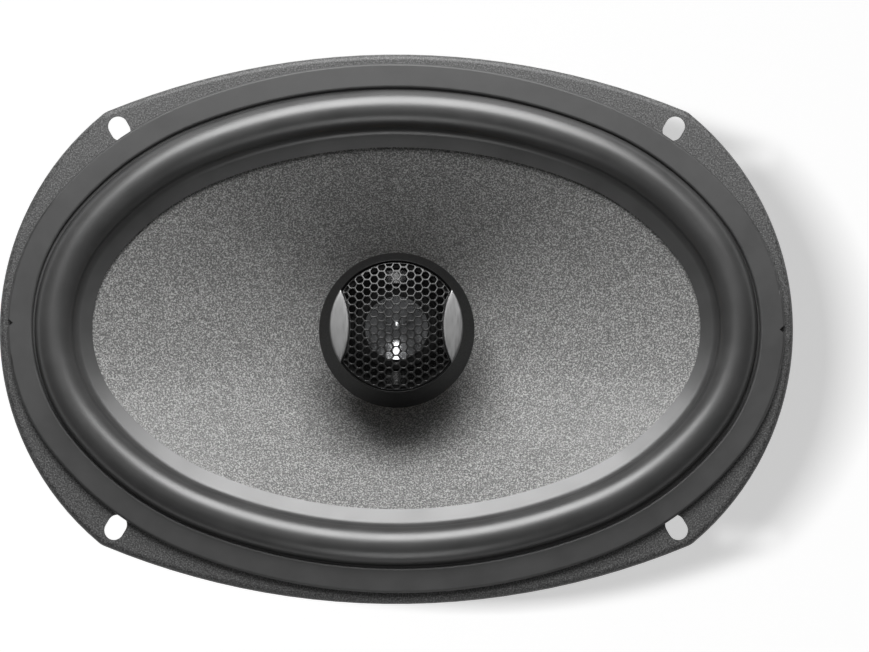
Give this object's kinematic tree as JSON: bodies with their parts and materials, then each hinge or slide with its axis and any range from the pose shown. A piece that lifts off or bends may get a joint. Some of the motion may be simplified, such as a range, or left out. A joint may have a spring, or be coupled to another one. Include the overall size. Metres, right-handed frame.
{
  "type": "coaxial car speaker",
  "caption": "Oval coaxial car speaker: stamped basket with slotted ears, fibre cone on a rubber surround, and a round tweeter with a hex mesh on a central post.",
  "frame": {"origin": "centre of the mounting plane, the plane of the rim's rear edge, on the voice coil's axis", "axes": "+Z out of the front, towards the listener; +X along the oval's long axis; +Y along its short axis, away from the terminals"},
  "size_m": [0.235, 0.1634, 0.0891],
  "materials": {
    "basket_paint": "textured matt powder coat",
    "gasket_rubber": "smooth matt",
    "surround_rubber": "soft satin",
    "cone_fibre": "fine glass fibre grain under a satin coat",
    "former_film": "satin",
    "copper": "enamelled wire",
    "spider_cloth": "resin-dipped weave",
    "plated_steel": "clear zinc plate",
    "ferrite": "ground grey-black",
    "post_aluminium": "turned",
    "housing_plastic": "fine moulded texture",
    "magnet_nickel": "nickel plate",
    "dome_aluminium": "bright rolled",
    "tweeter_cloth": "coated cloth",
    "faceplate_gloss": "gloss",
    "grille_paint": "satin",
    "insert_satin": "fine satin",
    "board_fibre": "pressed fibre board",
    "rivet_brass": "plated",
    "terminal_tin": "tin plate",
    "tinsel_braid": "fine braid",
    "capacitor_sleeve": "shrink sleeve",
    "wire_insulation": "smooth"
  },
  "bodies": {
    "basket": {"basket": "basket_paint", "front_gasket": "gasket_rubber", "top_plate": "plated_steel", "top_plate_rivets": "plated_steel", "magnet_ring": "ferrite", "yoke": "plated_steel", "tweeter_post": "post_aluminium", "post_washer": "plated_steel", "post_nut": "plated_steel", "tweeter_housing": "housing_plastic", "tweeter_yoke_cup": "plated_steel", "tweeter_magnet": "magnet_nickel", "tweeter_pole_plate": "plated_steel", "tweeter_support": "housing_plastic", "tweeter_faceplate": "faceplate_gloss", "tweeter_bezel": "housing_plastic", "tweeter_grille": "grille_paint", "insert_right": "insert_satin", "insert_left": "insert_satin", "terminal_board": "board_fibre", "board_rivets": "rivet_brass", "terminal_positive": "terminal_tin", "terminal_negative": "terminal_tin", "crossover_capacitor": "capacitor_sleeve", "capacitor_wires": "terminal_tin", "tweeter_wires": "wire_insulation"},
    "cone": {"cone": "cone_fibre", "surround": "surround_rubber", "voice_coil_former": "former_film", "voice_coil": "copper", "spider": "spider_cloth", "tinsel_lead_positive": "tinsel_braid", "tinsel_lead_negative": "tinsel_braid"},
    "tweeter_dome": {"tweeter_dome": "dome_aluminium", "tweeter_coil": "copper", "tweeter_surround": "tweeter_cloth"}
  },
  "joints": [
    {"name": "cone_travel", "type": "slide", "parent": "basket", "child": "cone", "axis": [0, 0, 1], "range_m": [-0.005, 0.005], "stiffness_N_per_m": 2800, "deforming": ["surround", "spider", "tinsel_lead_positive", "tinsel_lead_negative"]},
    {"name": "tweeter_travel", "type": "slide", "parent": "basket", "child": "tweeter_dome", "axis": [0, 0, 1], "range_m": [-0.0003, 0.0003], "stiffness_N_per_m": 2000, "deforming": ["tweeter_surround"]}
  ]
}
